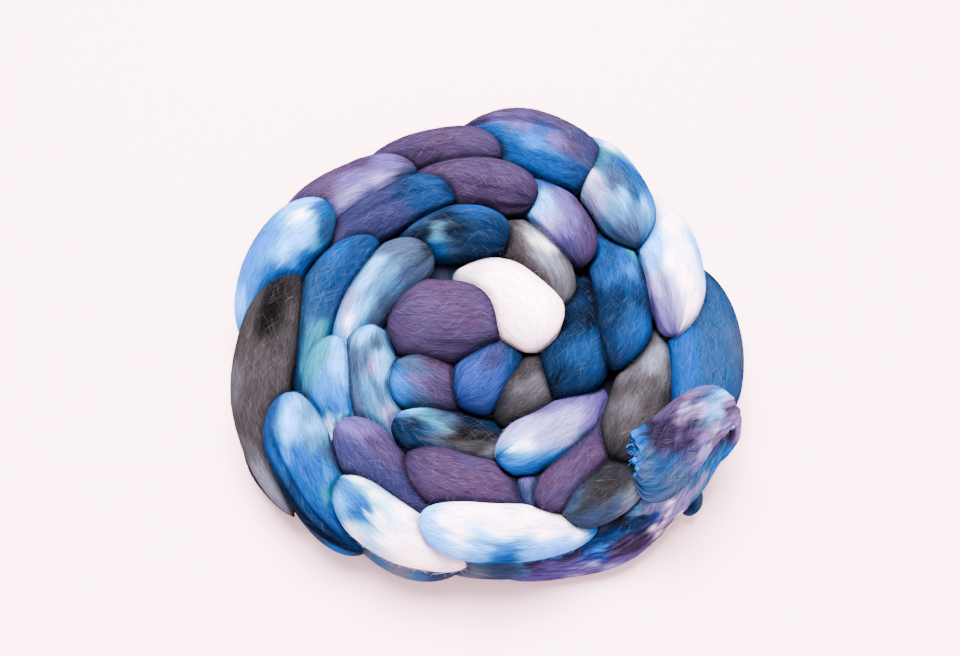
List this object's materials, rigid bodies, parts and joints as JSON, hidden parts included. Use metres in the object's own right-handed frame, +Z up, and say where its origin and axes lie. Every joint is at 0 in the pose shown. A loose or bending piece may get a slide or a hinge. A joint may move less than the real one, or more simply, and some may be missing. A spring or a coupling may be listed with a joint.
{
  "type": "wool roving",
  "caption": "Chained braid of dyed wool roving wound flat into a round coil, its loose end folded back on top of the rim.",
  "frame": {"origin": "middle of the coil's bounding box, on the surface it lies on", "axes": "+Z up through the coil's face, +X to the right and +Y away when the face is seen with the loose end at the lower right"},
  "size_m": [0.214, 0.215, 0.0594],
  "materials": {
    "dyed_wool": "soft combed wool in plum, blue, white and taupe",
    "dyed_wool_end": "soft combed wool, lilac, white and dark plum"
  },
  "bodies": {
    "root": {"chain": "dyed_wool", "tail": "dyed_wool_end"}
  },
  "joints": []
}
